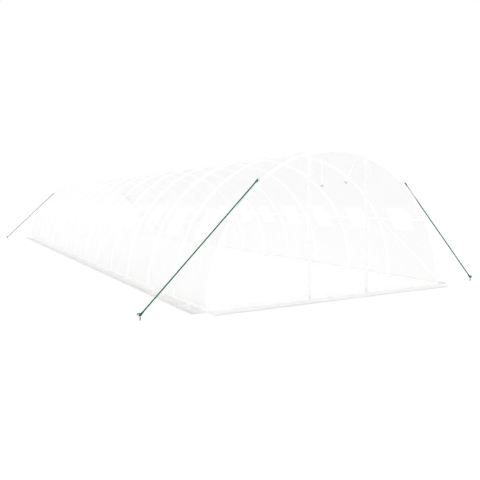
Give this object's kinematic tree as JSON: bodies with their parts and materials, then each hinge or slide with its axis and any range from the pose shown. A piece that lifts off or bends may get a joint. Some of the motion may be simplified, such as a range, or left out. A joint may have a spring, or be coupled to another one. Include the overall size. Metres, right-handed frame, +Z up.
{
  "type": "polytunnel greenhouse",
  "caption": "Long hooped greenhouse tunnel with a steel tube frame, translucent film cover, mesh side windows, zipped end doors, ground skirt and guy ropes.",
  "frame": {"origin": "ground level under the middle of the tunnel", "axes": "+X across the tunnel, +Y along it from the front end to the back end, +Z up"},
  "size_m": [5.692, 14.437, 2.0209],
  "materials": {
    "tube": "white powder coat, satin",
    "fitting": "white powder coat, satin",
    "film": "translucent reinforced film",
    "skirt": "reinforced film, laid on the ground",
    "mesh": "fine white insect mesh",
    "zip": "woven tape with moulded teeth",
    "strap": "woven webbing",
    "buckle": "moulded",
    "steel": "zinc plated",
    "rope": "twisted"
  },
  "bodies": {
    "root": {"front_hoop": "tube", "back_hoop": "tube", "inner_hoops": "tube", "ridge_purlin": "tube", "left_side_purlin": "tube", "right_side_purlin": "tube", "left_base_rail": "tube", "right_base_rail": "tube", "front_sill": "tube", "back_sill": "tube", "front_door_posts": "tube", "back_door_posts": "tube", "corner_braces": "tube", "hoop_sleeves": "fitting", "ridge_connectors": "fitting", "shoulder_connectors": "fitting", "foot_connectors": "fitting", "sill_tees": "fitting", "clamp_rings": "fitting", "left_wall_film": "film", "left_window_film": "film", "left_roof_film": "film", "left_crown_film": "film", "right_wall_film": "film", "right_window_film": "film", "right_roof_film": "film", "right_crown_film": "film", "front_side_films": "film", "front_door_top_film": "film", "front_door_panel": "film", "back_side_films": "film", "back_door_top_film": "film", "back_door_panel": "film", "left_skirt": "skirt", "right_skirt": "skirt", "front_skirt": "skirt", "back_skirt": "skirt", "left_window_meshes": "mesh", "right_window_meshes": "mesh", "front_door_zips": "zip", "back_door_zips": "zip", "door_straps": "strap", "strap_buckles": "buckle", "guy_rings": "steel", "guy_pegs": "steel", "guy_ropes": "rope"}
  },
  "joints": []
}
